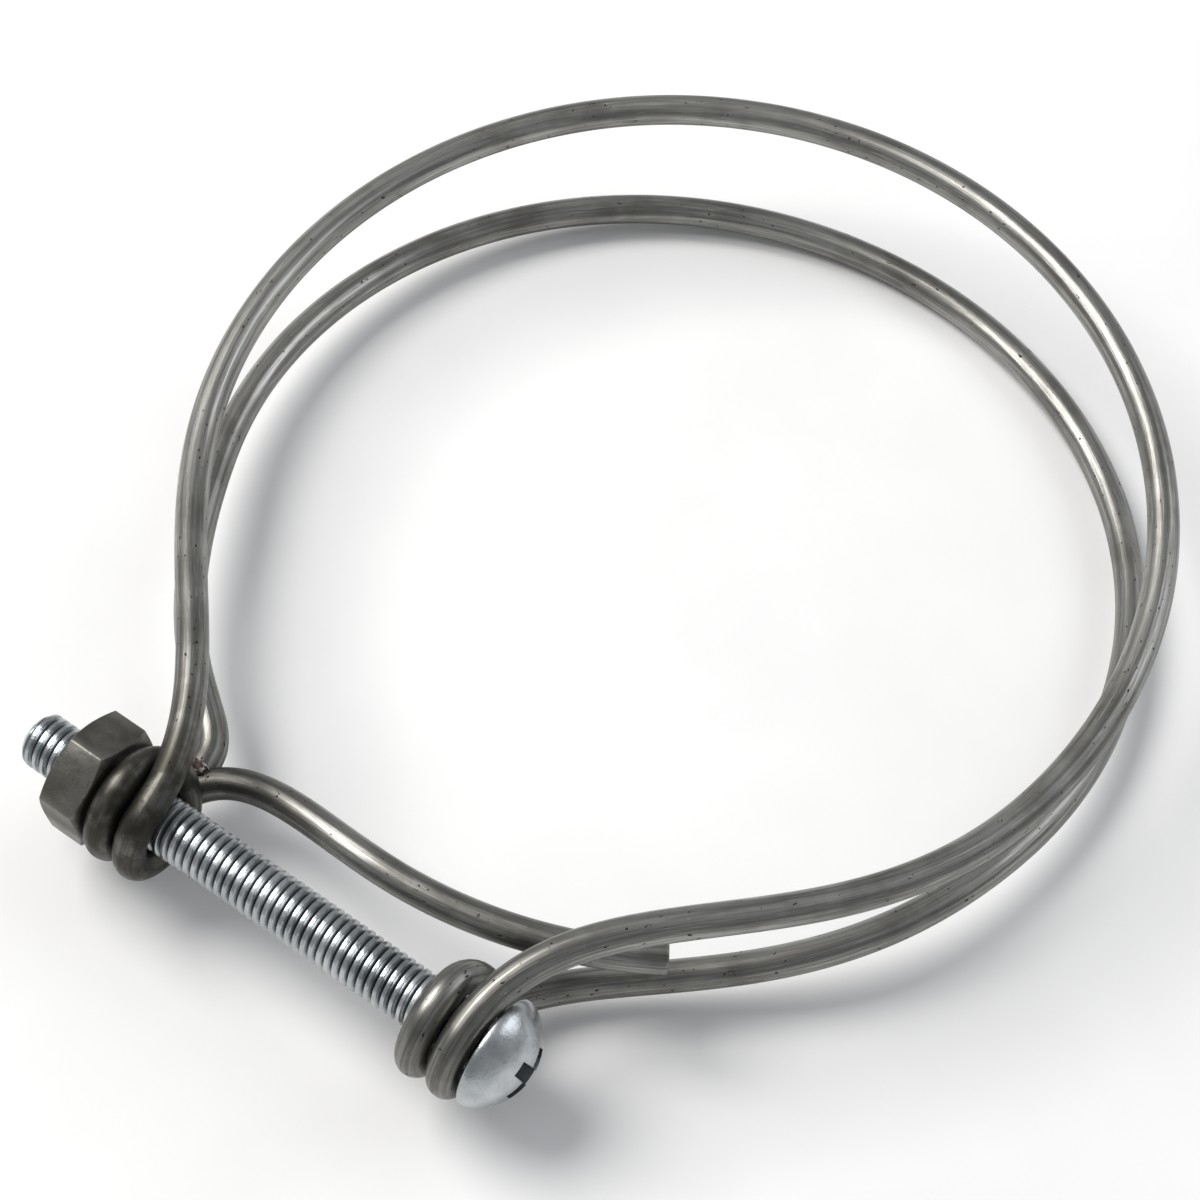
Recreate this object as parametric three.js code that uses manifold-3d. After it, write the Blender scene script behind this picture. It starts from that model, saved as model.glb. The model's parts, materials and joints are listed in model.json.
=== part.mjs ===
// A double-wire screw hose clamp. One length of round steel wire is bent into two hoops that lie
// one above the other, is coiled round a machine screw at both sides of the gap between its legs,
// and ends in a tongue that bridges that gap. The screw passes through both coils, its head bears
// on one coil, and a hex nut on its thread pulls the other coil towards the head.
//
// The wire is springy and bends all along its length as the clamp closes. That bending is gathered
// here at three flexing places, so the wire is made as rigid lengths that turn on each other.
//
// Millimetres and degrees. X runs along the screw towards its head, Z along the hose's axis.
import * as THREE from "three";
import { mergeVertices } from "three/addons/utils/BufferGeometryUtils.js";
import Module from "manifold-3d";

// The wire.
const WIRE_DIAMETER = 2.8;
const UPPER_HOOP_RADIUS = 41.2; // the hose's axis to the middle of the wire
const LOWER_HOOP_RADIUS = UPPER_HOOP_RADIUS - 0.5;
const SPREAD_AT_SIDES = 4.7; // each hoop's distance above or below the screw, beside the hose
const SPREAD_AT_BACK = 7.2; // the same at the back, opposite the screw
const COIL_GAP = 0.2; // round the screw in the coils
const COIL_SPACING = WIRE_DIAMETER + 0.2; // from one turn of a coil to the next
const COIL_TO_TONGUE = 0.5; // how far the coils lie clear of the tongue, away from the hose
const COIL_LEAN = 20; // how far past the top or the bottom of the screw a leg meets its coil
const LOWER_LEAN = 15; // the same for the lower hoop's leg
const TONGUE_LEAN = 8; // and for the tongue
const COIL_CROSSING = 150; // how much of the coil's turning takes the wire to the next turn
const NUT_COIL_AT = -15.7; // where the upper hoop's leg runs onto the nut's coil, along the screw
const HEAD_COIL_AT = 12.8; // where the lower hoop's leg runs onto the head's coil
const NUT_LEG_FROM = 24; // how far below the hose's side the legs leave the round, nut side
const HEAD_LEG_FROM = 10; // the same, head side
const UPPER_NUT_LEG_REACH = 0.39 * UPPER_HOOP_RADIUS; // how straight each leg starts
const LOWER_NUT_LEG_REACH = 0.58 * UPPER_HOOP_RADIUS;
const UPPER_HEAD_LEG_REACH = 0.56 * UPPER_HOOP_RADIUS;
const LOWER_HEAD_LEG_REACH = 0.68 * UPPER_HOOP_RADIUS;
const NUT_COIL_REACH = 12; // how straight each leg meets its coil
const UPPER_HEAD_COIL_REACH = 16;
const LOWER_HEAD_COIL_REACH = 17;

// The tongue, which lies along the hose between the hoops, and the weld at its root.
const TONGUE_RADIUS = UPPER_HOOP_RADIUS + 1;
const TONGUE_FROM = 272; // the angle round the hose at which it comes level with the screw
const TONGUE_TO = 304; // the angle of its cut end
const TONGUE_ROOT_REACH = 13;
const TONGUE_LEVEL_REACH = 10;
const WELD_ALONG_ROOT = 0.19; // where on the tongue's root bend the lower hoop's end is welded
const WELDED_END_WAY = -76; // the end's heading, and the reach of its last bend
const WELDED_END_REACH = 0.125 * UPPER_HOOP_RADIUS;
const WELDED_END_OFF = 0.9 * WIRE_DIAMETER + 0.8; // from the middle of the root to the end's face
const WELD_THROAT = 0.5; // the fillet of weld metal round the lower hoop's end
const WELD_HEIGHT = 1.3;

// The screw and the nut, with a 10-32 thread.
const THREAD_DIAMETER = 4.8;
const SCREW_LENGTH = 46.5;
const HEAD_DIAMETER = 9.5;
const HEAD_HEIGHT = 3.7;
const HEAD_RIM = 0.9; // the straight edge below the head's dome
const RECESS_SPAN = 5.2; // the cross recess, from arm tip to arm tip
const RECESS_ARM = 1.1;
const RECESS_DEPTH = 2;
const RECESS_TURN = 20;
const TIP_CHAMFER = 0.6;
const NUT_ACROSS_FLATS = 9.53;
const NUT_HEIGHT = 4;
const NUT_CHAMFER = 30; // the slope of the chamfer at its corners
const NUT_TURN = 7;

// Clearances.
const GAP = 0.3; // between pieces that touch
const FLEX_GAP = 1; // between two lengths of wire at a flexing place
const FLEX_BELOW_SIDE = 4; // the flexing places at the sides, below the hose's side

// How finely the round shapes are cut.
const WIRE_SIDES = 12;
const WIRE_STEP = 1.5;
const HOOP_STEP = 4;
const ROUND_SIDES = 32;
const DOME_STEPS = 6;

const { degToRad, radToDeg } = THREE.MathUtils;
const WIRE_RADIUS = WIRE_DIAMETER / 2;
const COIL_RADIUS = THREAD_DIAMETER / 2 + COIL_GAP + WIRE_RADIUS;
const SCREW_TO_CENTRE = TONGUE_RADIUS + WIRE_DIAMETER + COIL_RADIUS + COIL_TO_TONGUE;
const COIL_TURN = 540; // a turn and a half
const OVER = 90;
const UNDER = 270;
const BACK = 90;
const UPPER = 1;
const LOWER = -1;

const wasm = await Module();
wasm.setup();

// ---- booleans ----

function toSolid(geometry) {
  const bare = geometry.clone();
  bare.deleteAttribute("normal");
  bare.deleteAttribute("uv");
  const merged = mergeVertices(bare, 1e-4);
  const vertProperties = Float32Array.from(merged.attributes.position.array);
  const triVerts = Uint32Array.from(merged.index.array);
  return new wasm.Manifold(new wasm.Mesh({ numProp: 3, vertProperties, triVerts }));
}

function toGeometry(solid) {
  const { vertProperties, triVerts } = solid.getMesh();
  const geometry = new THREE.BufferGeometry();
  geometry.setAttribute("position", new THREE.BufferAttribute(vertProperties, 3));
  geometry.setIndex(new THREE.BufferAttribute(triVerts, 1));
  return geometry;
}

// ---- the wire's middle line ----

function hoopPoint(angle, side) {
  const radius = side === UPPER ? UPPER_HOOP_RADIUS : LOWER_HOOP_RADIUS;
  const spread = SPREAD_AT_SIDES + (SPREAD_AT_BACK - SPREAD_AT_SIDES) * Math.sin(degToRad(angle));
  return new THREE.Vector3(
    radius * Math.cos(degToRad(angle)),
    radius * Math.sin(degToRad(angle)),
    side * spread,
  );
}

class Hoop extends THREE.Curve {
  constructor(side, from, to) {
    super();
    Object.assign(this, { side, from, to });
  }

  getPoint(t) {
    return hoopPoint(THREE.MathUtils.lerp(this.from, this.to, t), this.side);
  }
}

// A coil's turns lie side by side, advance apart, and the wire crosses from one to the next on the
// hose's side. Its angle is 0 there, and grows over the screw, down its far side and under it. It
// leans past the top and the bottom, so that the legs clear the crossing.
class Coil extends THREE.Curve {
  constructor(along, from, way, advance, firstLean, lastLean) {
    super();
    Object.assign(this, { along, from, way, advance, firstLean, lastLean });
  }

  getPoint(t) {
    const turned = THREE.MathUtils.lerp(this.firstLean, COIL_TURN - this.lastLean, t);
    const angle = degToRad(this.from + this.way * turned);
    const across = (turned - COIL_TURN / 2) / COIL_CROSSING;
    const crossed = THREE.MathUtils.smoothstep(across, -0.5, 0.5);
    return new THREE.Vector3(
      this.along + this.advance * crossed,
      -SCREW_TO_CENTRE + COIL_RADIUS * Math.cos(angle),
      COIL_RADIUS * Math.sin(angle),
    );
  }
}

class Arc extends THREE.Curve {
  constructor(radius, from, to) {
    super();
    Object.assign(this, { radius, from, to });
  }

  getPoint(t) {
    const angle = degToRad(THREE.MathUtils.lerp(this.from, this.to, t));
    return new THREE.Vector3(this.radius * Math.cos(angle), this.radius * Math.sin(angle), 0);
  }
}

// A bend from one point and direction to another, its handles as long as the two reaches.
function bend(start, startWay, startReach, end, endWay, endReach) {
  const near = start.clone().addScaledVector(startWay, startReach);
  const far = end.clone().addScaledVector(endWay, -endReach);
  return new THREE.CubicBezierCurve3(start, near, far, end);
}

function join(...curves) {
  const path = new THREE.CurvePath();
  path.arcLengthDivisions = 800;
  curves.forEach((curve) => path.add(curve));
  return path;
}

function wire(path, step) {
  const section = new THREE.Shape().absarc(0, 0, WIRE_RADIUS, 0, 2 * Math.PI);
  return new THREE.ExtrudeGeometry(section, {
    steps: Math.ceil(path.getLength() / step),
    curveSegments: WIRE_SIDES / 2,
    extrudePath: path,
  });
}

const HALF_FLEX = radToDeg(FLEX_GAP / 2 / UPPER_HOOP_RADIUS);
const HEAD_FLEX = -FLEX_BELOW_SIDE;
const NUT_FLEX = 180 + FLEX_BELOW_SIDE;

// A leg of a hoop on the head side runs from its flexing place down to the head's coil.
function headLeg(side, coilPoint, coilWay) {
  const round = new Hoop(side, HEAD_FLEX - HALF_FLEX, -HEAD_LEG_FROM);
  const way = round.getTangent(1);
  const reach = side === UPPER ? UPPER_HEAD_LEG_REACH : LOWER_HEAD_LEG_REACH;
  const coilReach = side === UPPER ? UPPER_HEAD_COIL_REACH : LOWER_HEAD_COIL_REACH;
  return [round, bend(round.getPoint(1), way, reach, coilPoint, coilWay, coilReach)];
}

function nutLeg(side, end, endWay, endReach) {
  const round = new Hoop(side, NUT_FLEX + HALF_FLEX, 180 + NUT_LEG_FROM);
  const way = round.getTangent(1);
  const reach = side === UPPER ? UPPER_NUT_LEG_REACH : LOWER_NUT_LEG_REACH;
  return [round, bend(round.getPoint(1), way, reach, end, endWay, endReach)];
}

function reversed(curves) {
  return curves.reverse().map((curve) => {
    const back = new THREE.Curve();
    back.getPoint = (t) => curve.getPoint(1 - t);
    return back;
  });
}

const headCoil = new Coil(HEAD_COIL_AT, UNDER, -1, COIL_SPACING, LOWER_LEAN, COIL_LEAN);
const nutCoil = new Coil(NUT_COIL_AT, OVER, 1, -COIL_SPACING, COIL_LEAN, TONGUE_LEAN);
const tongueLevel = new Arc(TONGUE_RADIUS, TONGUE_FROM, TONGUE_TO);
const tongueRoot = bend(
  nutCoil.getPoint(1),
  nutCoil.getTangent(1),
  TONGUE_ROOT_REACH,
  tongueLevel.getPoint(0),
  tongueLevel.getTangent(0),
  TONGUE_LEVEL_REACH,
);

const headEnd = join(
  ...headLeg(LOWER, headCoil.getPoint(0), headCoil.getTangent(0)),
  headCoil,
  ...reversed(headLeg(UPPER, headCoil.getPoint(1), headCoil.getTangent(1).negate())),
);
const nutEnd = join(
  ...nutLeg(UPPER, nutCoil.getPoint(0), nutCoil.getTangent(0), NUT_COIL_REACH),
  nutCoil,
  tongueRoot,
  tongueLevel,
);

// The lower hoop's cut end stops against the hose side of the tongue's root, and is welded there.
const endWay = new THREE.Vector3(
  Math.cos(degToRad(WELDED_END_WAY)),
  Math.sin(degToRad(WELDED_END_WAY)),
  0,
);
const lowerEndAt = tongueRoot.getPointAt(WELD_ALONG_ROOT).addScaledVector(endWay, -WELDED_END_OFF);
const lowerEnd = join(...nutLeg(LOWER, lowerEndAt, endWay, WELDED_END_REACH));

// ---- pieces ----

// The weld is a fillet round the wire, widest against the tongue's root. It stands on height 0.
function weld() {
  const bore = WIRE_RADIUS + GAP;
  const profile = [
    new THREE.Vector2(bore, 0),
    new THREE.Vector2(bore + WELD_THROAT, 0),
    new THREE.Vector2(bore + WELD_THROAT / 2, WELD_HEIGHT),
    new THREE.Vector2(bore, WELD_HEIGHT),
    new THREE.Vector2(bore, 0),
  ];
  return new THREE.LatheGeometry(profile, ROUND_SIDES / 2);
}

function hexNut() {
  const cornerRadius = NUT_ACROSS_FLATS / Math.sqrt(3);
  const hex = new THREE.CylinderGeometry(cornerRadius, cornerRadius, NUT_HEIGHT, 6);
  const faceRadius = NUT_ACROSS_FLATS / 2;
  const drop = (cornerRadius - faceRadius) * Math.tan(degToRad(NUT_CHAMFER));
  const outside = new THREE.LatheGeometry(
    [
      new THREE.Vector2(0, -NUT_HEIGHT / 2),
      new THREE.Vector2(faceRadius, -NUT_HEIGHT / 2),
      new THREE.Vector2(cornerRadius, -NUT_HEIGHT / 2 + drop),
      new THREE.Vector2(cornerRadius, NUT_HEIGHT / 2 - drop),
      new THREE.Vector2(faceRadius, NUT_HEIGHT / 2),
      new THREE.Vector2(0, NUT_HEIGHT / 2),
    ],
    2 * ROUND_SIDES,
  );
  const boreRadius = THREAD_DIAMETER / 2 + GAP;
  const bore = new THREE.CylinderGeometry(boreRadius, boreRadius, 2 * NUT_HEIGHT, ROUND_SIDES);
  return toGeometry(toSolid(hex).intersect(toSolid(outside)).subtract(toSolid(bore)));
}

// The screw stands on its tip here, its head's underside at height 0.
function screw() {
  const radius = THREAD_DIAMETER / 2;
  const headRadius = HEAD_DIAMETER / 2;
  const rise = HEAD_HEIGHT - HEAD_RIM;
  const domeRadius = (headRadius ** 2 + rise ** 2) / (2 * rise);
  const domeAngle = Math.asin(headRadius / domeRadius);
  const profile = [
    new THREE.Vector2(0, -SCREW_LENGTH),
    new THREE.Vector2(radius - TIP_CHAMFER, -SCREW_LENGTH),
    new THREE.Vector2(radius, -SCREW_LENGTH + TIP_CHAMFER),
    new THREE.Vector2(radius, 0),
    new THREE.Vector2(headRadius, 0),
  ];
  for (let i = 0; i <= DOME_STEPS; i++) {
    const angle = domeAngle * (1 - i / DOME_STEPS);
    const height = HEAD_HEIGHT - domeRadius * (1 - Math.cos(angle));
    profile.push(new THREE.Vector2(domeRadius * Math.sin(angle), height));
  }
  const turned = toSolid(new THREE.LatheGeometry(profile, ROUND_SIDES));
  const arm = new THREE.BoxGeometry(RECESS_SPAN, 2 * RECESS_DEPTH, RECESS_ARM);
  arm.rotateY(degToRad(RECESS_TURN));
  arm.translate(0, HEAD_HEIGHT, 0);
  const otherArm = new THREE.BoxGeometry(RECESS_ARM, 2 * RECESS_DEPTH, RECESS_SPAN);
  otherArm.rotateY(degToRad(RECESS_TURN));
  otherArm.translate(0, HEAD_HEIGHT, 0);
  return toGeometry(turned.subtract(toSolid(arm).add(toSolid(otherArm))));
}

// ---- the clamp ----

const wireSteel = new THREE.MeshStandardMaterial({
  color: 0x8d8a82,
  roughness: 0.45,
  metalness: 1,
});
const coilSteel = new THREE.MeshStandardMaterial({
  color: 0x5c5a50,
  roughness: 0.5,
  metalness: 1,
});
const zinc = new THREE.MeshStandardMaterial({ color: 0xc9d2da, roughness: 0.28, metalness: 1 });
const nutSteel = new THREE.MeshStandardMaterial({
  color: 0x6a665c,
  roughness: 0.55,
  metalness: 1,
});
const weldSteel = new THREE.MeshStandardMaterial({
  color: 0x4a3a35,
  roughness: 0.7,
  metalness: 1,
});

const clamp = new THREE.Group();

function add(name, geometry, material) {
  const mesh = new THREE.Mesh(geometry, material);
  mesh.name = name;
  clamp.add(mesh);
  return mesh;
}

for (const [side, hoopName] of [[UPPER, "upper_hoop"], [LOWER, "lower_hoop"]]) {
  const right = join(new Hoop(side, HEAD_FLEX + HALF_FLEX, BACK - HALF_FLEX));
  const left = join(new Hoop(side, BACK + HALF_FLEX, NUT_FLEX - HALF_FLEX));
  add(hoopName + "_head_side", wire(right, HOOP_STEP), wireSteel);
  add(hoopName + "_nut_side", wire(left, HOOP_STEP), wireSteel);
}
add("wire_head_coil_and_legs", wire(headEnd, WIRE_STEP), coilSteel);
add("wire_nut_coil_and_tongue", wire(nutEnd, WIRE_STEP), coilSteel);
add("lower_hoop_welded_end", wire(lowerEnd, WIRE_STEP), wireSteel);

// The screw's head bears on the head's coil, and the nut on the nut's coil.
const headUnderside = HEAD_COIL_AT + COIL_SPACING + WIRE_RADIUS + GAP;
const nutFace = NUT_COIL_AT - COIL_SPACING - WIRE_RADIUS - GAP;

const screwMesh = add("machine_screw", screw(), zinc);
screwMesh.rotation.z = degToRad(-90);
screwMesh.position.set(headUnderside, -SCREW_TO_CENTRE, 0);

const nutMesh = add("hex_nut", hexNut().rotateY(degToRad(NUT_TURN)), nutSteel);
nutMesh.rotation.z = degToRad(-90);
nutMesh.position.set(nutFace - NUT_HEIGHT / 2, -SCREW_TO_CENTRE, 0);

const weldMesh = add("weld_fillet", weld(), weldSteel);
weldMesh.quaternion.setFromUnitVectors(new THREE.Vector3(0, -1, 0), endWay);
weldMesh.position.copy(lowerEndAt);

// The part's origin is at the middle of its box, on the surface that it lies on.
const box = new THREE.Box3().setFromObject(clamp);
clamp.position.set(-(box.min.x + box.max.x) / 2, -(box.min.y + box.max.y) / 2, -box.min.z);

export default clamp;
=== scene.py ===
import json
import math

import bmesh
import bpy
from mathutils import Matrix, Vector, noise


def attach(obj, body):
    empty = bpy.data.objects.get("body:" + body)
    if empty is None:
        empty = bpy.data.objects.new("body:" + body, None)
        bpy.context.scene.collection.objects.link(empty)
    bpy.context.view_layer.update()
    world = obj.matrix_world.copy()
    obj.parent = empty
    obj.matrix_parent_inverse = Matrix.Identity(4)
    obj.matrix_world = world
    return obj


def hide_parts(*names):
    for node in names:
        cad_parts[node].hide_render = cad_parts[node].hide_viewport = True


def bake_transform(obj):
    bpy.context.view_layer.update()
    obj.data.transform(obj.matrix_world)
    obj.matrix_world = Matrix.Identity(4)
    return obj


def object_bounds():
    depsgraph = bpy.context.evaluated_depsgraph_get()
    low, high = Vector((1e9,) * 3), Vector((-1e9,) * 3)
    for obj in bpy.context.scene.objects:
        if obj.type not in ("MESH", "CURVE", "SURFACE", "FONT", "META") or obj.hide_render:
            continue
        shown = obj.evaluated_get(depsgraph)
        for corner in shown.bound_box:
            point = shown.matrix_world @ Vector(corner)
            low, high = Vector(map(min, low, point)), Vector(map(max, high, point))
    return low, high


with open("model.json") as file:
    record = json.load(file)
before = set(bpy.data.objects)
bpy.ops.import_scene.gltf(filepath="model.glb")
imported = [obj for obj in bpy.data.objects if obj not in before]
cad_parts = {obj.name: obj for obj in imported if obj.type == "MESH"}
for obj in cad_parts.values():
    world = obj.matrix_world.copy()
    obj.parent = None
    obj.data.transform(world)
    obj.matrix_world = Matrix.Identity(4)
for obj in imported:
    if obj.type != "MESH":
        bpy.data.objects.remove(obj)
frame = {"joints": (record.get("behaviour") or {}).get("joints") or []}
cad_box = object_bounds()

# ---- The wire ----
# One length of hard-drawn spring steel, 2.8 mm thick, bent on a mandrel into two hoops, one over
# the other, with a coil of one and a half turns at each end of the gap. It starts at the lower
# hoop's welded end, and finishes as the tongue between the hoops.

wire_radius = 0.00137
upper_hoop_radius = 0.0412
lower_hoop_radius = 0.0407
spread_at_sides = 0.0047
spread_at_back = 0.0072
coil_radius = 0.00398
coil_spacing = 0.0030
coil_turn = 540
coil_lean = 20
lower_lean = 15
tongue_lean = 8
coil_crossing_at = 270
coil_crossing = 150
head_coil_at = 0.0128
nut_coil_at = -0.0157
head_leg_from = -10
nut_leg_from = 204
tongue_radius = 0.0422
tongue_from = 272
tongue_to = 304
# How far each bend keeps to the line that it leaves, at its first end and at its last.
upper_head_reaches = 0.0231, 0.016
lower_head_reaches = 0.0280, 0.017
upper_nut_reaches = 0.0161, 0.012
welded_reaches = 0.0239, 0.00515
tongue_reaches = 0.013, 0.010
# The welded end: its way down, its place along the tongue's root, and how far it stands off.
welded_turn = -76
weld_along_root = 0.19
welded_end_off = 0.0022
welded_line_off = 0.0033
wire_step = 0.0006
wire_sides = 36
hinge_radius = 0.0410

hinges = {joint["name"]: Vector(joint["pos_m"]) for joint in frame["joints"]}
hose_axis = hinges["flex_back"] - Vector((0, hinge_radius, 0))
screw_axis = Vector((hose_axis.x, hinges["screw_turn"].y, hose_axis.z))
screw_below = hose_axis.y - screw_axis.y


def on_hoop(angle, upper):
    """A point of a hoop's middle line, from the hose's axis; 0 degrees is the head's side."""
    a = math.radians(angle)
    radius = upper_hoop_radius if upper else lower_hoop_radius
    spread = spread_at_sides + (spread_at_back - spread_at_sides) * math.sin(a)
    return Vector((radius * math.cos(a), radius * math.sin(a), spread if upper else -spread))


def on_coil(along, start, way, advance, turned):
    """A point of a coil's middle line; its angle is 0 on the hose's side of the screw."""
    a = math.radians(start + way * turned)
    t = min(1, max(0, (turned - coil_crossing_at) / coil_crossing + 0.5))
    crossed = t * t * (3 - 2 * t)
    return Vector((
        along + advance * crossed,
        -screw_below + coil_radius * math.cos(a),
        coil_radius * math.sin(a),
    ))


def on_tongue(angle):
    a = math.radians(angle)
    return Vector((tongue_radius * math.cos(a), tongue_radius * math.sin(a), 0))


def trace(rule, start, stop):
    """Points along a rule, close enough together for a smooth wire."""
    rough = [rule(start + (stop - start) * i / 400) for i in range(401)]
    length = sum((b - a).length for a, b in zip(rough, rough[1:]))
    count = max(2, math.ceil(length / wire_step))
    return [rule(start + (stop - start) * i / count) for i in range(count + 1)]


def bend(start, start_way, start_reach, end, end_way, end_reach):
    """A smooth bend between two straight starts, as far as each reach."""
    near = start + start_way.normalized() * start_reach
    far = end - end_way.normalized() * end_reach

    def rule(t):
        s = 1 - t
        return s**3 * start + 3 * s * s * t * near + 3 * s * t * t * far + t**3 * end

    return rule


def lower(angle):
    return on_hoop(angle, False)


def upper(angle):
    return on_hoop(angle, True)


def head_coil(turned):
    return on_coil(head_coil_at, 270, -1, coil_spacing, turned)


def nut_coil(turned):
    return on_coil(nut_coil_at, 90, 1, -coil_spacing, turned)


head_coil_last = coil_turn - coil_lean
nut_coil_last = coil_turn - tongue_lean
# A turn small enough to give a curve's direction.
forward = 0.01
tongue_root = bend(
    nut_coil(nut_coil_last),
    nut_coil(nut_coil_last) - nut_coil(nut_coil_last - forward), tongue_reaches[0],
    on_tongue(tongue_from),
    on_tongue(tongue_from + forward) - on_tongue(tongue_from), tongue_reaches[1],
)
# The lower hoop's end runs down on to the tongue's root.
welded_way = Vector((math.cos(math.radians(welded_turn)), math.sin(math.radians(welded_turn)), 0))
root_points = trace(tongue_root, 0, 1)
welded_root = root_points[round(weld_along_root * (len(root_points) - 1))]
welded_end = welded_root - welded_way * welded_end_off
welded_leg = bend(
    lower(nut_leg_from),
    lower(nut_leg_from + forward) - lower(nut_leg_from), welded_reaches[0],
    welded_root - welded_way * welded_line_off,
    welded_way, welded_reaches[1],
)
lower_head_leg = bend(
    lower(head_leg_from),
    lower(head_leg_from - forward) - lower(head_leg_from), lower_head_reaches[0],
    head_coil(lower_lean),
    head_coil(lower_lean + forward) - head_coil(lower_lean), lower_head_reaches[1],
)
upper_head_leg = bend(
    upper(head_leg_from),
    upper(head_leg_from - forward) - upper(head_leg_from), upper_head_reaches[0],
    head_coil(head_coil_last),
    head_coil(head_coil_last - forward) - head_coil(head_coil_last), upper_head_reaches[1],
)
upper_nut_leg = bend(
    upper(nut_leg_from),
    upper(nut_leg_from + forward) - upper(nut_leg_from), upper_nut_reaches[0],
    nut_coil(coil_lean),
    nut_coil(coil_lean + forward) - nut_coil(coil_lean), upper_nut_reaches[1],
)

# The wire's own line, from its welded end to the tongue's cut end. The four cuts are where one
# length hands over to the next, between the back hinge and those at the sides.
cut_nut_side = 137
cut_head_side = 43
lengths = [
    ("welded", [welded_end] + trace(welded_leg, 1, 0) + trace(lower, nut_leg_from, cut_nut_side)),
    ("lower_back", trace(lower, cut_nut_side, cut_head_side)),
    ("head", trace(lower, cut_head_side, head_leg_from) + trace(lower_head_leg, 0, 1)
     + trace(head_coil, lower_lean, head_coil_last) + trace(upper_head_leg, 1, 0)
     + trace(upper, head_leg_from, cut_head_side)),
    ("upper_back", trace(upper, cut_head_side, cut_nut_side)),
    ("nut", trace(upper, cut_nut_side, nut_leg_from) + trace(upper_nut_leg, 0, 1)
     + trace(nut_coil, coil_lean, nut_coil_last) + root_points
     + trace(on_tongue, tongue_from, tongue_to)),
]


def wire_frames():
    """For each length its points, their distance along the wire, and a side way that never twists."""
    made, side, along, last = {}, Vector((0, 0, 1)), 0.0, None
    for name, raw in lengths:
        points = [raw[0]]
        for p in raw[1:]:
            if (p - points[-1]).length > wire_step / 4:
                points.append(p)
        sides, distances = [], []
        for i, p in enumerate(points):
            before, after = points[max(0, i - 1)], points[min(len(points) - 1, i + 1)]
            way = (after - before).normalized()
            side = (side - way * side.dot(way)).normalized()
            if last is not None:
                along += (p - last).length
            last = p
            sides.append(side.copy())
            distances.append(along)
        made[name] = (points, distances, sides)
    return made


def wire_tree():
    """Sweeps a round section along the wire's line, and closes its ends."""
    tree = bpy.data.node_groups.new("sweep_wire", "GeometryNodeTree")
    face = tree.interface
    face.new_socket("Geometry", in_out="INPUT", socket_type="NodeSocketGeometry")
    face.new_socket("Wire radius", in_out="INPUT", socket_type="NodeSocketFloat")
    face.new_socket("Sides", in_out="INPUT", socket_type="NodeSocketInt")
    face.new_socket("Steel", in_out="INPUT", socket_type="NodeSocketMaterial")
    face.new_socket("Geometry", in_out="OUTPUT", socket_type="NodeSocketGeometry")
    nodes, link = tree.nodes, tree.links.new
    given = nodes.new("NodeGroupInput")
    line = nodes.new("GeometryNodeMeshToCurve")
    link(given.outputs["Geometry"], line.inputs["Mesh"])
    side = nodes.new("GeometryNodeInputNamedAttribute")
    side.data_type = "FLOAT_VECTOR"
    side.inputs["Name"].default_value = "side"
    upright = nodes.new("GeometryNodeSetCurveNormal")
    upright.mode = "FREE"
    link(line.outputs["Curve"], upright.inputs["Curve"])
    link(side.outputs["Attribute"], upright.inputs["Normal"])
    round_section = nodes.new("GeometryNodeCurvePrimitiveCircle")
    link(given.outputs["Sides"], round_section.inputs["Resolution"])
    link(given.outputs["Wire radius"], round_section.inputs["Radius"])
    place = nodes.new("GeometryNodeInputPosition")
    outward = nodes.new("ShaderNodeVectorMath")
    outward.operation = "NORMALIZE"
    link(place.outputs["Position"], outward.inputs[0])
    marked = nodes.new("GeometryNodeStoreNamedAttribute")
    marked.data_type = "FLOAT_VECTOR"
    marked.inputs["Name"].default_value = "section"
    link(round_section.outputs["Curve"], marked.inputs["Geometry"])
    link(outward.outputs["Vector"], marked.inputs["Value"])
    thickness = nodes.new("GeometryNodeInputNamedAttribute")
    thickness.data_type = "FLOAT"
    thickness.inputs["Name"].default_value = "thickness"
    swept = nodes.new("GeometryNodeCurveToMesh")
    swept.inputs["Fill Caps"].default_value = True
    link(upright.outputs["Curve"], swept.inputs["Curve"])
    link(marked.outputs["Geometry"], swept.inputs["Profile Curve"])
    link(thickness.outputs["Attribute"], swept.inputs["Scale"])
    real = nodes.new("GeometryNodeRealizeInstances")
    link(swept.outputs["Mesh"], real.inputs["Geometry"])
    finish = nodes.new("GeometryNodeSetMaterial")
    link(real.outputs["Geometry"], finish.inputs["Geometry"])
    link(given.outputs["Steel"], finish.inputs["Material"])
    out = nodes.new("NodeGroupOutput")
    link(finish.outputs["Geometry"], out.inputs["Geometry"])
    return tree


def grow(source, tree, values, name):
    """Runs a tree on a mesh once, and gives the result as a plain object of its own."""
    holder = bpy.data.objects.new(name + "_source", source)
    bpy.context.scene.collection.objects.link(holder)
    modifier = holder.modifiers.new("shape", "NODES")
    modifier.node_group = tree
    for item in tree.interface.items_tree:
        if item.item_type == "SOCKET" and item.in_out == "INPUT" and item.name in values:
            modifier[item.identifier] = values[item.name]
    view = bpy.context.evaluated_depsgraph_get()
    mesh = bpy.data.meshes.new_from_object(holder.evaluated_get(view))
    mesh.name = name
    holder.modifiers.remove(modifier)
    bpy.data.objects.remove(holder)
    piece = bpy.data.objects.new(name, mesh)
    bpy.context.scene.collection.objects.link(piece)
    return piece


def smooth(piece, sharp_over):
    """Shades a piece smooth, but for the edges that turn by more than this many degrees."""
    piece.data.shade_smooth()
    piece.data.set_sharp_from_angle(angle=math.radians(sharp_over))


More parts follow.
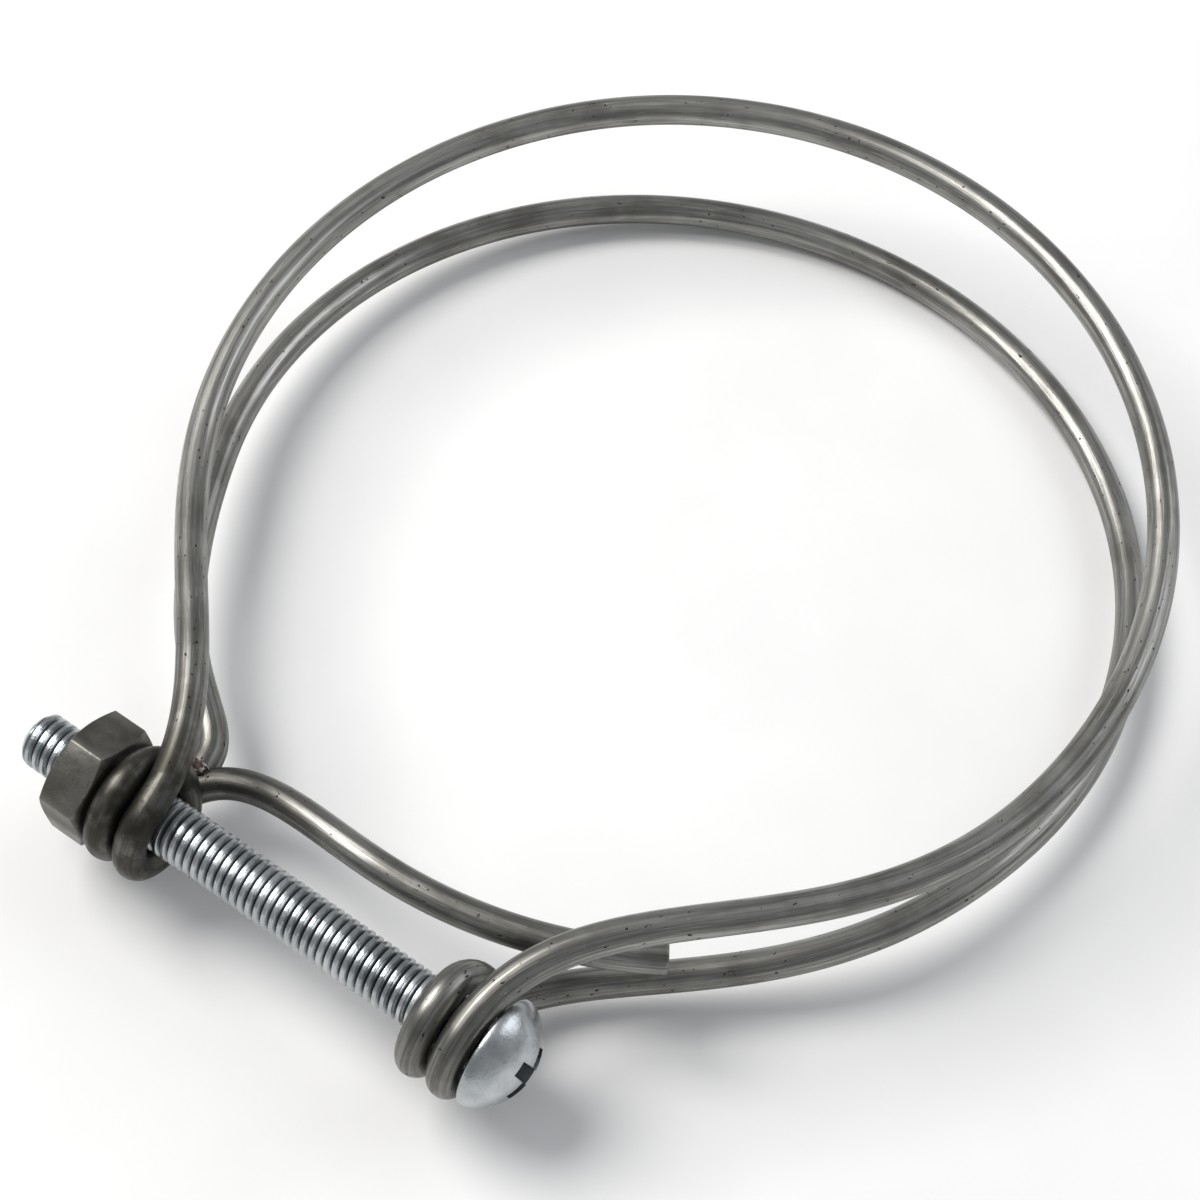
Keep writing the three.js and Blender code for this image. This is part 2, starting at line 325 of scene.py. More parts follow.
class Nodes:
    """A tree's nodes, with short ways to add and join them."""

    def __init__(self, tree):
        self.tree = tree
        self.nodes = tree.nodes
        self.link = tree.links.new

    def put(self, socket, value):
        if isinstance(value, bpy.types.NodeSocket):
            self.link(value, socket)
        else:
            socket.default_value = value

    def math(self, operation, a, b=0.0, c=0.0):
        node = self.nodes.new("ShaderNodeMath")
        node.operation = operation
        for socket, value in zip(node.inputs, (a, b, c)):
            self.put(socket, value)
        return node.outputs[0]


class Shader(Nodes):
    """A material, made of its nodes."""

    def __init__(self, name):
        self.material = bpy.data.materials.new(name)
        self.material.use_nodes = True
        super().__init__(self.material.node_tree)
        self.surface = self.nodes["Principled BSDF"]

    def attribute(self, name, output):
        node = self.nodes.new("ShaderNodeAttribute")
        node.attribute_name = name
        return node.outputs[output]

    def place(self):
        return self.nodes.new("ShaderNodeTexCoord").outputs["Object"]

    def scaled(self, vector, factors):
        node = self.nodes.new("ShaderNodeVectorMath")
        node.operation = "MULTIPLY"
        self.put(node.inputs[0], vector)
        node.inputs[1].default_value = factors
        return node.outputs[0]

    def noise(self, vector, scale, detail=3.0, roughness=0.55):
        node = self.nodes.new("ShaderNodeTexNoise")
        self.put(node.inputs["Vector"], vector)
        node.inputs["Scale"].default_value = scale
        node.inputs["Detail"].default_value = detail
        node.inputs["Roughness"].default_value = roughness
        return node.outputs["Fac"]

    def between(self, value, low, high, at_low=0.0, at_high=1.0):
        node = self.nodes.new("ShaderNodeMapRange")
        node.interpolation_type = "SMOOTHSTEP"
        self.put(node.inputs["Value"], value)
        node.inputs["From Min"].default_value = low
        node.inputs["From Max"].default_value = high
        node.inputs["To Min"].default_value = at_low
        node.inputs["To Max"].default_value = at_high
        return node.outputs["Result"]

    def blend(self, share, below, above):
        node = self.nodes.new("ShaderNodeMix")
        node.data_type = "RGBA"
        self.put(node.inputs["Factor"], share)
        for key, colour in (("A", below), ("B", above)):
            linked = isinstance(colour, bpy.types.NodeSocket)
            self.put(node.inputs[key], colour if linked else (*colour, 1))
        return node.outputs["Result"]

    def bump(self, height, distance):
        node = self.nodes.new("ShaderNodeBump")
        node.inputs["Strength"].default_value = 1.0
        node.inputs["Distance"].default_value = distance
        self.put(node.inputs["Height"], height)
        return node.outputs["Normal"]


def drawn_steel():
    """Drawing lines along the wire, cloudy scale, rubbed bright tops and small dark pits."""
    steel = Shader("drawn_spring_steel")
    along = steel.attribute("along", "Fac")
    section = steel.attribute("section", "Vector")
    near_coils = steel.attribute("near_coils", "Fac")
    heat = steel.attribute("heat", "Fac")
    wrapped = steel.nodes.new("ShaderNodeSeparateXYZ")
    steel.link(section, wrapped.inputs[0])
    laid = steel.nodes.new("ShaderNodeCombineXYZ")
    steel.link(wrapped.outputs["X"], laid.inputs["X"])
    steel.link(wrapped.outputs["Y"], laid.inputs["Y"])
    steel.link(along, laid.inputs["Z"])
    on_wire = laid.outputs["Vector"]
    lines = steel.noise(steel.scaled(on_wire, (4.2, 4.2, 70.0)), 1.0, 5.0, 0.7)
    scratches = steel.noise(steel.scaled(on_wire, (13.0, 13.0, 260.0)), 1.0, 2.0, 0.6)
    clouds = steel.noise(steel.place(), 110.0, 4.0, 0.6)
    specks = steel.noise(steel.scaled(on_wire, (3.2, 3.2, 1500.0)), 1.0, 2.0, 0.5)
    colour = steel.blend(
        steel.between(lines, 0.38, 0.64), (0.185, 0.183, 0.172), (0.375, 0.372, 0.350)
    )
    colour = steel.blend(
        steel.between(clouds, 0.42, 0.70, 0.0, 0.60), colour, (0.095, 0.090, 0.078)
    )
    colour = steel.blend(
        steel.between(scratches, 0.60, 0.72, 0.0, 0.55), colour, (0.52, 0.50, 0.46)
    )
    pits = steel.between(specks, 0.69, 0.73)
    colour = steel.blend(steel.math("MULTIPLY", pits, 0.85), colour, (0.018, 0.014, 0.011))
    # The wire is made darker near the coils, in blotches, the most at the nut coil.
    blotches = steel.between(steel.noise(steel.place(), 420.0, 3.0, 0.6), 0.30, 0.62)
    darkened = steel.math("MULTIPLY", near_coils, steel.between(blotches, 0.0, 1.0, 0.70, 0.97))
    colour = steel.blend(darkened, colour, (0.036, 0.034, 0.027))
    rust = steel.math("MULTIPLY", heat, steel.between(blotches, 0.0, 1.0, 0.35, 1.0))
    colour = steel.blend(rust, colour, (0.060, 0.034, 0.028))
    steel.link(colour, steel.surface.inputs["Base Color"])
    steel.surface.inputs["Metallic"].default_value = 0.92
    rough = steel.between(lines, 0.25, 0.75, 0.42, 0.27)
    rough = steel.math("ADD", rough, steel.math("MULTIPLY", pits, 0.30))
    rough = steel.math("ADD", rough, steel.math("MULTIPLY", darkened, 0.10))
    steel.link(rough, steel.surface.inputs["Roughness"])
    height = steel.math("ADD", steel.math("MULTIPLY", lines, 0.40), steel.math("MULTIPLY", pits, -1.4))
    height = steel.math("ADD", height, steel.math("MULTIPLY", scratches, 0.30))
    height = steel.math("ADD", height, steel.math("MULTIPLY", clouds, 0.60))
    steel.link(steel.bump(height, 0.000045), steel.surface.inputs["Normal"])
    return steel.material


wire_steel = drawn_steel()
wire_lines = wire_frames()
sweep_wire = wire_tree()
coil_middles = (
    Vector((head_coil_at + coil_spacing / 2, -screw_below, 0)),
    Vector((nut_coil_at - coil_spacing / 2, -screw_below, 0)),
)
# A cut end's last rows, thinner towards its face.
end_rows = [0.86, 0.95, 0.985]
end_row_step = 0.00005


def wire_piece(name, length, cut_first, cut_last):
    """One length of the wire; a cut end is a sheared face with a small rounded edge."""
    points, distances, sides = wire_lines[length]
    points, distances, sides = list(points), list(distances), list(sides)
    thickness = [1.0] * len(points)
    for share, row in zip(end_rows, reversed(end_rows)):
        inset = wire_radius * (1 - share) * 0.6
        if cut_first:
            way = (points[0] - points[1]).normalized()
            points.insert(0, points[0] + way * (end_row_step + inset))
            distances.insert(0, distances[0] - end_row_step)
            sides.insert(0, sides[0])
            thickness.insert(0, row)
        if cut_last:
            way = (points[-1] - points[-2]).normalized()
            points.append(points[-1] + way * (end_row_step + inset))
            distances.append(distances[-1] + end_row_step)
            sides.append(sides[-1])
            thickness.append(row)
    line = bpy.data.meshes.new(name + "_line")
    edges = [(i, i + 1) for i in range(len(points) - 1)]
    line.from_pydata([p + hose_axis for p in points], edges, [])
    for key, kind, values in (
        ("side", "FLOAT_VECTOR", [c for s in sides for c in s]),
        ("along", "FLOAT", distances),
        ("thickness", "FLOAT", thickness),
        ("near_coils", "FLOAT", [coil_darkening(p) for p in points]),
        ("heat", "FLOAT", [weld_heat(p) for p in points]),
    ):
        attribute = line.attributes.new(key, kind, "POINT")
        attribute.data.foreach_set("vector" if kind == "FLOAT_VECTOR" else "value", values)
    values = {"Wire radius": wire_radius, "Sides": wire_sides, "Steel": wire_steel}
    piece = grow(line, sweep_wire, values, name)
    smooth(piece, 50)
    return piece


darkening_reach = 0.017
darkening_fade = 0.012
head_coil_darkening = 0.40
heat_reach = 0.0052
heat_fade = 0.0035


def coil_darkening(point):
    """The wire is darker on the coils and where the legs leave them, the most at the nut."""
    near_head, near_nut = [
        min(1, max(0, (darkening_reach - (point - middle).length) / darkening_fade))
        for middle in coil_middles
    ]
    return max(head_coil_darkening * near_head, near_nut)


def weld_heat(point):
    """The weld has blued and rusted the wire next to it."""
    return min(1, max(0, (heat_reach - (point - welded_end).length) / heat_fade))


def flex(piece):
    """Bakes the piece's place into its mesh."""
    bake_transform(piece)


welded_leg_wire = wire_piece("lower_hoop_and_welded_leg", "welded", True, False)
flex(welded_leg_wire)
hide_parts("lower_hoop_welded_end", "lower_hoop_nut_side")

lower_back_wire = wire_piece("lower_hoop_back", "lower_back", False, False)
flex(lower_back_wire)
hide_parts("lower_hoop_head_side")

head_wire = wire_piece("head_coil_and_both_legs", "head", False, False)
flex(head_wire)
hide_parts("wire_head_coil_and_legs")

upper_back_wire = wire_piece("upper_hoop_back", "upper_back", False, False)
flex(upper_back_wire)
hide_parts("upper_hoop_head_side", "upper_hoop_nut_side")

nut_wire = wire_piece("nut_coil_leg_and_tongue", "nut", False, True)
flex(nut_wire)
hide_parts("wire_nut_coil_and_tongue")

# ---- The weld ----
# A short run of weld metal joins the lower hoop's cut end to the tongue's root. It is a lumpy
# fillet, blued and rusted by the heat.

weld_bead_radius = 0.00066
weld_ring_radius = 0.00138
weld_beads = 14
weld_past_end = 0.0007
weld_roughness = 0.00010


def weld_steel():
    metal = Shader("weld_metal")
    lumps = metal.noise(metal.place(), 1500.0, 4.0, 0.6)
    patches = metal.noise(metal.place(), 520.0, 3.0, 0.6)
    colour = metal.blend(
        metal.between(patches, 0.40, 0.62), (0.020, 0.017, 0.016), (0.070, 0.044, 0.038)
    )
    bright = metal.between(lumps, 0.57, 0.64)
    colour = metal.blend(bright, colour, (0.42, 0.40, 0.37))
    metal.link(colour, metal.surface.inputs["Base Color"])
    metal.surface.inputs["Metallic"].default_value = 0.75
    metal.link(metal.between(bright, 0, 1, 0.62, 0.35), metal.surface.inputs["Roughness"])
    metal.link(metal.bump(lumps, 0.00012), metal.surface.inputs["Normal"])
    return metal.material


def weld_metal():
    """Beads round the joint, run together into one lump."""
    shape = bmesh.new()
    middle = hose_axis + welded_end + welded_way * weld_past_end
    across = welded_way.cross(Vector((0, 0, 1))).normalized()
    up = across.cross(welded_way).normalized()
    for bead in range(weld_beads):
        a = 2 * math.pi * bead / weld_beads
        wobble = noise.noise(Vector((bead * 1.7, 0.3, 0.0)))
        ring = weld_ring_radius * (1 + 0.12 * wobble)
        at = middle + (across * math.cos(a) + up * math.sin(a)) * ring
        at += welded_way * 0.00030 * noise.noise(Vector((bead * 2.3, 4.1, 0.0)))
        size = weld_bead_radius * (1 + 0.35 * wobble)
        place = Matrix.Translation(at)
        bmesh.ops.create_icosphere(shape, subdivisions=3, radius=size, matrix=place)
    mesh = bpy.data.meshes.new("weld_bead")
    shape.to_mesh(mesh)
    shape.free()
    lump = bpy.data.objects.new("weld_bead", mesh)
    bpy.context.scene.collection.objects.link(lump)
    fuse = lump.modifiers.new("fuse", "REMESH")
    fuse.mode = "VOXEL"
    fuse.voxel_size = 0.00010
    view = bpy.context.evaluated_depsgraph_get()
    fused = bpy.data.meshes.new_from_object(lump.evaluated_get(view))
    lump.modifiers.remove(fuse)
    lump.data = fused
    for vertex in fused.vertices:
        swell = noise.fractal(vertex.co * 900.0, 0.8, 2.0, 3)
        vertex.co += vertex.normal * weld_roughness * swell
    fused.materials.append(weld_steel())
    fused.shade_smooth()
    return lump


weld = weld_metal()
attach(weld, "nut_side_wire")
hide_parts("weld_fillet")

# ---- The machine screw ----
# A 10-32 pan head screw, cold headed, with a cross recess and a rolled thread all along it, plated
# with bright zinc. Its head bears on the head's coil, and its tip stands out past the nut.

thread_pitch = 0.000794
thread_radius = 0.0024
thread_depth = 0.00042
screw_length = 0.0465
screw_tip_chamfer = 0.0006
head_radius = 0.00475
head_height = 0.0037
head_rim = 0.0007
head_edge = 0.00028
head_sides = 96
# From a coil's middle line to the face that bears on it.
coil_to_face = 0.0017
head_underside = head_coil_at + coil_spacing + coil_to_face
dome_radius = (head_radius**2 + (head_height - head_rim) ** 2) / (2 * (head_height - head_rim))
recess_turn = 20
recess_reach = 0.003
screw_sides = 64
rows_per_pitch = 10
spare_pitches = 2
groove_share = 0.62


class Shape(Nodes):
    """A geometry tree, made of its nodes."""

    def __init__(self, name, inputs):
        super().__init__(bpy.data.node_groups.new(name, "GeometryNodeTree"))
        face = self.tree.interface
        face.new_socket("Geometry", in_out="INPUT", socket_type="NodeSocketGeometry")
        for key, kind in inputs:
            face.new_socket(key, in_out="INPUT", socket_type=kind)
        face.new_socket("Geometry", in_out="OUTPUT", socket_type="NodeSocketGeometry")
        self.given = self.nodes.new("NodeGroupInput").outputs

    def add(self, kind, **sockets):
        node = self.nodes.new(kind)
        for key, value in sockets.items():
            self.put(node.inputs[key], value)
        return node


def thread_tree():
    """A turned bar whose rows follow the helix, so that each ridge is one unbroken row."""
    shape = Shape("roll_thread", [
        ("Pitch", "NodeSocketFloat"), ("Radius", "NodeSocketFloat"), ("Depth", "NodeSocketFloat"),
        ("Length", "NodeSocketFloat"), ("Chamfer", "NodeSocketFloat"), ("Sides", "NodeSocketInt"),
        ("Rows", "NodeSocketInt"), ("Plate", "NodeSocketMaterial"),
    ])
    do, given = shape.math, shape.given
    grid = shape.add("GeometryNodeMeshGrid")
    grid.inputs["Size X"].default_value = 1.0
    grid.inputs["Size Y"].default_value = 1.0
    shape.link(do("ADD", given["Sides"], 1.0), grid.inputs["Vertices X"])
    shape.link(do("ADD", given["Rows"], 1.0), grid.inputs["Vertices Y"])
    where = shape.nodes.new("ShaderNodeSeparateXYZ")
    shape.link(shape.nodes.new("GeometryNodeInputPosition").outputs[0], where.inputs[0])
    turn = do("ADD", where.outputs["X"], 0.5)
    row = do("ADD", where.outputs["Y"], 0.5)
    # Two pitches below the tip and two above the shank's end close the bar on its axis.
    spare = do("MULTIPLY", given["Pitch"], spare_pitches)
    span = do("ADD", given["Length"], do("MULTIPLY", spare, 2.0))
    climb = do("SUBTRACT", do("MULTIPLY", row, span), spare)
    height = do("ADD", climb, do("MULTIPLY", given["Pitch"], do("SUBTRACT", turn, 0.5)))
    phase = do("FRACT", do("ADD", do("DIVIDE", climb, given["Pitch"]), 64.0))
    flank = do("ABSOLUTE", do("SUBTRACT", do("MULTIPLY", phase, 2.0), 1.0))
    ridge = shape.nodes.new("ShaderNodeMapRange")
    ridge.interpolation_type = "SMOOTHSTEP"
    ridge.inputs["From Min"].default_value = 0.0
    ridge.inputs["From Max"].default_value = groove_share
    shape.link(flank, ridge.inputs["Value"])
    groove = do("SUBTRACT", 1.0, ridge.outputs["Result"])
    # The thread runs out under the head.
    to_head = do("SUBTRACT", given["Length"], height)
    runout = do("MINIMUM", do("MAXIMUM", do("DIVIDE", to_head, given["Pitch"]), 0.0), 1.0)
    cut = do("MULTIPLY", do("MULTIPLY", groove, runout), given["Depth"])
    radius = do("SUBTRACT", given["Radius"], cut)
    tip = do("ADD", do("SUBTRACT", given["Radius"], given["Chamfer"]), height)
    closing = do("MULTIPLY", do("MINIMUM", height, 0.0), 4.0)
    radius = do("MINIMUM", radius, do("ADD", tip, closing))
    over = do("MINIMUM", to_head, 0.0)
    radius = do("MINIMUM", radius, do("ADD", given["Radius"], do("MULTIPLY", over, 4.0)))
    radius = do("MAXIMUM", radius, 0.0)
    angle = do("MULTIPLY", turn, 2 * math.pi)
    level = do("MINIMUM", do("MAXIMUM", height, 0.0), given["Length"])
    moved = shape.nodes.new("ShaderNodeCombineXYZ")
    shape.link(do("MULTIPLY", radius, do("COSINE", angle)), moved.inputs["X"])
    shape.link(do("MULTIPLY", radius, do("SINE", angle)), moved.inputs["Y"])
    shape.link(do("SUBTRACT", level, given["Length"]), moved.inputs["Z"])
    marked = shape.add("GeometryNodeStoreNamedAttribute", Geometry=grid.outputs["Mesh"])
    marked.data_type = "FLOAT"
    marked.inputs["Name"].default_value = "groove"
    # The tip's flat face gets no painted shade.
    past_tip = do("MINIMUM", do("MAXIMUM", do("DIVIDE", height, given["Pitch"]), 0.0), 1.0)
    shape.link(do("MULTIPLY", do("MULTIPLY", groove, runout), past_tip), marked.inputs["Value"])
    wound = shape.add("GeometryNodeSetPosition", Geometry=marked.outputs["Geometry"])
    shape.link(moved.outputs["Vector"], wound.inputs["Position"])
    sewn = shape.add("GeometryNodeMergeByDistance", Geometry=wound.outputs["Geometry"])
    sewn.inputs["Distance"].default_value = 2e-6
    real = shape.add("GeometryNodeRealizeInstances", Geometry=sewn.outputs["Geometry"])
    plated = shape.add(
        "GeometryNodeSetMaterial", Geometry=real.outputs["Geometry"], Material=given["Plate"]
    )
    out = shape.nodes.new("NodeGroupOutput")
    shape.link(plated.outputs["Geometry"], out.inputs["Geometry"])
    return shape.tree


def bright_zinc():
    """Bluish bright plate, a little cloudy, with painted shade in the thread's grooves and in the
    recess.
    """
    plate = Shader("bright_zinc_plate")
    groove = plate.attribute("groove", "Fac")
    clouds = plate.noise(plate.place(), 260.0, 4.0, 0.6)
    fine = plate.noise(plate.place(), 2600.0, 3.0, 0.6)
    colour = plate.blend(
        plate.between(clouds, 0.35, 0.68), (0.37, 0.395, 0.41), (0.56, 0.585, 0.60)
    )
    marks = plate.between(fine, 0.64, 0.70, 0.0, 0.5)
    colour = plate.blend(marks, colour, (0.24, 0.23, 0.22))
    # Painted shade: the thread's grooves and the cross recess are darkened almost to black.
    shade = plate.between(groove, 0.35, 1.0, 0.0, 0.80)
    in_recess = plate.math("MULTIPLY", plate.attribute("recess", "Fac"), 0.88)
    shade = plate.math("MAXIMUM", shade, in_recess)
    colour = plate.blend(shade, colour, (0.050, 0.056, 0.062))
    plate.link(colour, plate.surface.inputs["Base Color"])
    plate.surface.inputs["Metallic"].default_value = 1.0
    rough = plate.between(clouds, 0.3, 0.7, 0.24, 0.36)
    rough = plate.math("ADD", rough, plate.math("MULTIPLY", shade, 0.25))
    plate.link(rough, plate.surface.inputs["Roughness"])
    plate.link(plate.bump(fine, 0.000030), plate.surface.inputs["Normal"])
    return plate.material


def lathe(profile, sides):
    """A closed turned solid round Z. The profile's ends lie on the axis."""
    shape = bmesh.new()
    rings = []
    for radius, height in profile:
        if radius == 0:
            rings.append([shape.verts.new((0, 0, height))])
            continue
        angles = [2 * math.pi * i / sides for i in range(sides)]
        rings.append([
            shape.verts.new((radius * math.cos(a), radius * math.sin(a), height)) for a in angles
        ])
    for low, high in zip(rings, rings[1:]):
        for i in range(sides):
            j = (i + 1) % sides
            corners = [
                low[i % len(low)], low[j % len(low)], high[j % len(high)], high[i % len(high)],
            ]
            corners = list(dict.fromkeys(corners))
            if len(corners) > 2:
                shape.faces.new(corners)
    bmesh.ops.recalc_face_normals(shape, faces=shape.faces)
    return shape


def pan_head():
    """The head from its underside up: a rounded lower edge, a short rim and a low dome."""
    profile = [(0, 0.0), (head_radius * 0.5, 0.0), (head_radius - head_edge, 0.0)]
    edge_steps = 4
    for i in range(1, edge_steps + 1):
        a = math.pi / 2 * i / edge_steps
        radius = head_radius - head_edge * (1 - math.sin(a))
        profile.append((radius, head_edge * (1 - math.cos(a))))
    profile.append((head_radius, head_rim * 0.8))
    steep = math.asin(head_radius / dome_radius)
    steps = 18
    for i in range(1, steps + 1):
        a = steep * (1 - i / steps)
        height = head_height - dome_radius * (1 - math.cos(a))
        profile.append((dome_radius * math.sin(a) if i < steps else 0, height))
    shape = lathe(profile, head_sides)
    mesh = bpy.data.meshes.new("pan_head")
    shape.to_mesh(mesh)
    shape.free()
    return mesh


def cross_recess():
    """The punch that leaves the recess: two tapered blades across each other."""
    shape = bmesh.new()
    top, bottom = head_height + 0.0004, head_height - 0.0021
    # Half a blade's length, half its thickness and its height, at its top and at its bottom.
    blade = [(0.00290, 0.00074, top), (0.00120, 0.00048, bottom)]
    for turn in (0, 90):
        corners = []
        for reach, half, height in blade:
            for sx, sy in ((-1, -1), (1, -1), (1, 1), (-1, 1)):
                corners.append(Vector((sx * reach, sy * half, height)))
        spin = Matrix.Rotation(math.radians(turn + recess_turn), 4, "Z")
        verts = [shape.verts.new(spin @ c) for c in corners]
        bmesh.ops.convex_hull(shape, input=verts)
    mesh = bpy.data.meshes.new("recess_punch")
    shape.to_mesh(mesh)
    shape.free()
    return mesh


def carve(piece, tool_mesh, operation):
    """Cuts a tool's solid out of a piece, or keeps only what both hold, as a plain mesh."""
    tool = bpy.data.objects.new("tool", tool_mesh)
    bpy.context.scene.collection.objects.link(tool)
    cutting = piece.modifiers.new("carve", "BOOLEAN")
    cutting.operation = operation
    cutting.solver = "EXACT"
    cutting.use_self = operation == "DIFFERENCE"
    cutting.object = tool
    view = bpy.context.evaluated_depsgraph_get()
    result = bpy.data.meshes.new_from_object(piece.evaluated_get(view))
    piece.modifiers.remove(cutting)
    piece.data = result
    bpy.data.objects.remove(tool)


zinc = bright_zinc()
pitches = screw_length / thread_pitch + 2 * spare_pitches
screw = grow(
    bpy.data.meshes.new("screw_blank"), thread_tree(),
    {
        "Pitch": thread_pitch, "Radius": thread_radius, "Depth": thread_depth,
        "Length": screw_length, "Chamfer": screw_tip_chamfer, "Sides": screw_sides,
        "Rows": round(pitches * rows_per_pitch), "Plate": zinc,
    },
    "pan_head_screw",
)
head = bpy.data.objects.new("head_blank", pan_head())
bpy.context.scene.collection.objects.link(head)
carve(head, cross_recess(), "DIFFERENCE")
head.data.materials.clear()
head.data.materials.append(zinc)
# Painted shade lies in the recess, whose faces are all under the dome.
under_dome = []
for face in head.data.polygons:
    out = math.hypot(face.center.x, face.center.y)
    dome = head_height - dome_radius + math.sqrt(dome_radius**2 - out**2)
    inside = out < recess_reach and 0.0001 < face.center.z < dome - 0.0002
    under_dome.append(1.0 if inside else 0.0)
recess_shade = head.data.attributes.new("recess", "FLOAT", "FACE")
recess_shade.data.foreach_set("value", under_dome)
both = bmesh.new()
both.from_mesh(screw.data)
both.from_mesh(head.data)
for face in both.faces:
    face.material_index = 0
both.to_mesh(screw.data)
both.free()
screw.data.materials.clear()
screw.data.materials.append(zinc)
bpy.data.objects.remove(head)
screw.data.transform(Matrix.Rotation(math.radians(90), 4, "Y"))
screw.data.transform(Matrix.Translation(screw_axis + Vector((head_underside, 0, 0))))
smooth(screw, 38)
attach(screw, "screw")
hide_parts("machine_screw")

# ---- The nut ----
# A plain hexagon nut, 9.53 mm across its flats, turned to a chamfer on both faces and tapped for
# the screw. Its dull brownish plate is scuffed along the corners.

nut_across_flats = 0.00953
nut_height = 0.0040
nut_chamfer_slope = 30
nut_turn = 7
nut_bore = 0.00255
nut_bore_chamfer = 0.00026
nut_face_share = 0.95
nut_rounding = 0.00012
nut_middle = nut_coil_at - coil_spacing - coil_to_face - nut_height / 2


def dull_plate():
    plate = Shader("dull_nut_plate")
    clouds = plate.noise(plate.place(), 190.0, 4.0, 0.6)
    fine = plate.noise(plate.place(), 1700.0, 4.0, 0.65)
    colour = plate.blend(
        plate.between(clouds, 0.36, 0.66), (0.085, 0.081, 0.070), (0.185, 0.180, 0.162)
    )
    colour = plate.blend(plate.between(fine, 0.58, 0.70, 0.0, 0.6), colour, (0.045, 0.040, 0.033))
    edges = plate.attribute("corner", "Fac")
    colour = plate.blend(plate.math("MULTIPLY", edges, 0.4), colour, (0.34, 0.33, 0.30))
    plate.link(colour, plate.surface.inputs["Base Color"])
    plate.surface.inputs["Metallic"].default_value = 0.9
    plate.link(plate.between(clouds, 0.3, 0.7, 0.50, 0.36), plate.surface.inputs["Roughness"])
    plate.link(plate.bump(fine, 0.00004), plate.surface.inputs["Normal"])
    return plate.material


def hexagon_nut():
    """A turned disc and a hexagon leave what both hold; then the bore is cut and the edges eased."""
    corner = nut_across_flats / math.sqrt(3)
    flat = nut_across_flats / 2
    drop = (corner - flat) * math.tan(math.radians(nut_chamfer_slope))
    half = nut_height / 2
    inner = nut_bore_chamfer
    ring = lathe([
        (0, -half), (flat * nut_face_share, -half), (corner, -half + drop), (corner, half - drop),
        (flat * nut_face_share, half), (0, half),
    ], 96)
    turned = bpy.data.meshes.new("nut_turning")
    ring.to_mesh(turned)
    ring.free()
    blank = lathe([
        (0, -half - inner), (corner, -half - inner), (corner, half + inner), (0, half + inner),
    ], 6)
    mesh = bpy.data.meshes.new("hexagon")
    blank.to_mesh(mesh)
    blank.free()
    nut = bpy.data.objects.new("hexagon_nut", mesh)
    bpy.context.scene.collection.objects.link(nut)
    carve(nut, turned, "INTERSECT")
    bore = lathe([
        (0, -half - inner), (nut_bore + 2 * inner, -half - inner), (nut_bore, -half + inner),
        (nut_bore, half - inner), (nut_bore + 2 * inner, half + inner), (0, half + inner),
    ], 64)
    drill = bpy.data.meshes.new("nut_drill")
    bore.to_mesh(drill)
    bore.free()
    carve(nut, drill, "DIFFERENCE")
    bevel = nut.modifiers.new("rounded", "BEVEL")
    bevel.width = nut_rounding
    bevel.segments = 2
    bevel.limit_method = "ANGLE"
    bevel.angle_limit = math.radians(20)
    view = bpy.context.evaluated_depsgraph_get()
    rounded = bpy.data.meshes.new_from_object(nut.evaluated_get(view))
    nut.modifiers.remove(bevel)
    nut.data = rounded
    at_corner = [
        min(1, max(0, (math.hypot(v.co.x, v.co.y) - 0.94 * corner) / (0.05 * corner)))
        for v in rounded.vertices
    ]
    attribute = rounded.attributes.new("corner", "FLOAT", "POINT")
    attribute.data.foreach_set("value", at_corner)
    rounded.materials.clear()
    rounded.materials.append(dull_plate())
    return nut


nut = hexagon_nut()
nut.data.transform(Matrix.Rotation(math.radians(nut_turn), 4, "Z"))
nut.data.transform(Matrix.Rotation(math.radians(90), 4, "Y"))
nut.data.transform(Matrix.Translation(screw_axis + Vector((nut_middle, 0, 0))))
smooth(nut, 30)
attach(nut, "nut")
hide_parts("hex_nut")

# ---- The table, the light and the camera ----
# The clamp lies flat on a white table under soft light from high on the left.


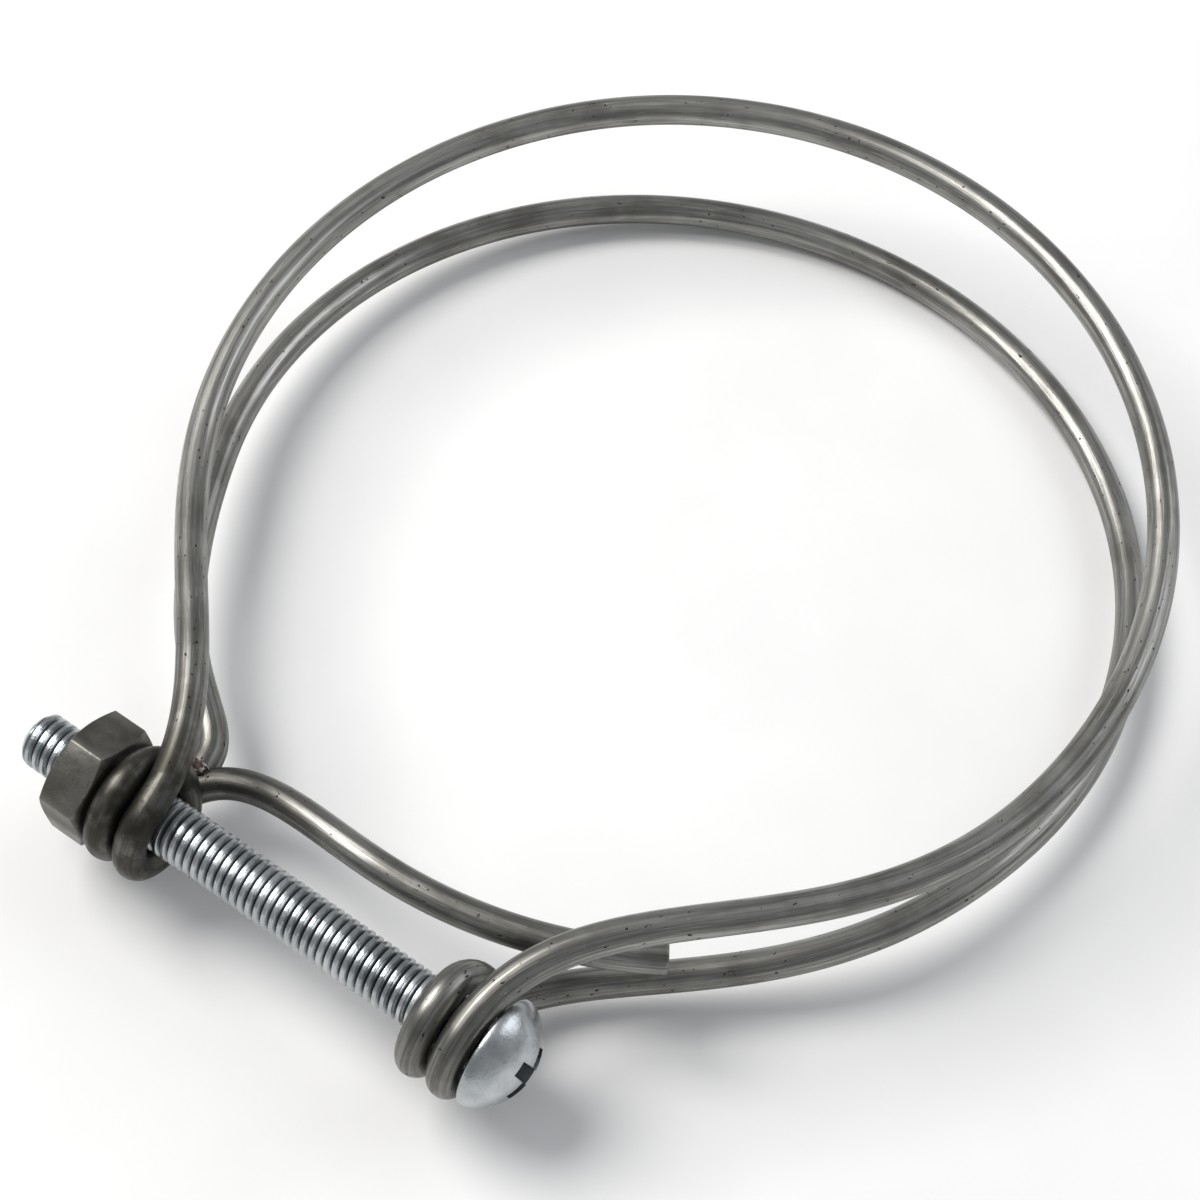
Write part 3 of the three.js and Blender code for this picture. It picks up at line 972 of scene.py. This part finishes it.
def table_white():
    cover = Shader("table_white")
    speckle = cover.noise(cover.place(), 40.0, 3.0, 0.5)
    cover.link(
        cover.blend(cover.between(speckle, 0.3, 0.7), (0.86, 0.86, 0.86), (0.90, 0.90, 0.90)),
        cover.surface.inputs["Base Color"],
    )
    cover.surface.inputs["Roughness"].default_value = 0.8
    return cover.material


table_mesh = bpy.data.meshes.new("table")
reach = 3.0
table_corners = [(-reach, -reach, 0), (reach, -reach, 0), (reach, reach, 0), (-reach, reach, 0)]
table_mesh.from_pydata(table_corners, [], [(0, 1, 2, 3)])
table_mesh.materials.append(table_white())
table = bpy.data.objects.new("table", table_mesh)
table.location.z = cad_box[0].z - 0.0002
bpy.context.scene.collection.objects.link(table)

world = bpy.data.worlds.new("room")
world.use_nodes = True
world.node_tree.nodes["Background"].inputs["Color"].default_value = (0.95, 0.97, 1.0, 1)
world.node_tree.nodes["Background"].inputs["Strength"].default_value = 0.37
bpy.context.scene.world = world


def soft_light(name, place, size, power, colour):
    lamp = bpy.data.lights.new(name, "AREA")
    lamp.shape = "DISK"
    lamp.size = size
    lamp.energy = power
    lamp.color = colour
    holder = bpy.data.objects.new(name, lamp)
    holder.location = place
    holder.rotation_euler = (-Vector(place)).to_track_quat("-Z", "Y").to_euler()
    bpy.context.scene.collection.objects.link(holder)


soft_light("high_left", (-0.45, -0.10, 0.60), 0.50, 5.4, (1.0, 0.98, 0.95))
soft_light("behind_right", (0.40, 0.50, 0.50), 0.60, 1.7, (0.93, 0.96, 1.0))

# The camera looks down on the clamp from its head's side.
camera_turn = (2.441, 0.807, -0.185)
camera_shift = Vector((0.157, -0.171, 6.292)) * upper_hoop_radius
spin = Matrix.Rotation(Vector(camera_turn).length, 3, Vector(camera_turn))
from_hose_axis = -(spin.transposed() @ camera_shift)
eye = bpy.data.cameras.new("eye")
eye.lens = 89.87
eye.sensor_width = 36
camera = bpy.data.objects.new("eye", eye)
camera.matrix_world = Matrix.Translation(hose_axis + from_hose_axis) @ Matrix((
    (spin[0][0], -spin[1][0], -spin[2][0]),
    (spin[0][1], -spin[1][1], -spin[2][1]),
    (spin[0][2], -spin[1][2], -spin[2][2]),
)).to_4x4()
bpy.context.scene.collection.objects.link(camera)
bpy.context.scene.camera = camera
bpy.context.scene.view_settings.view_transform = "Standard"
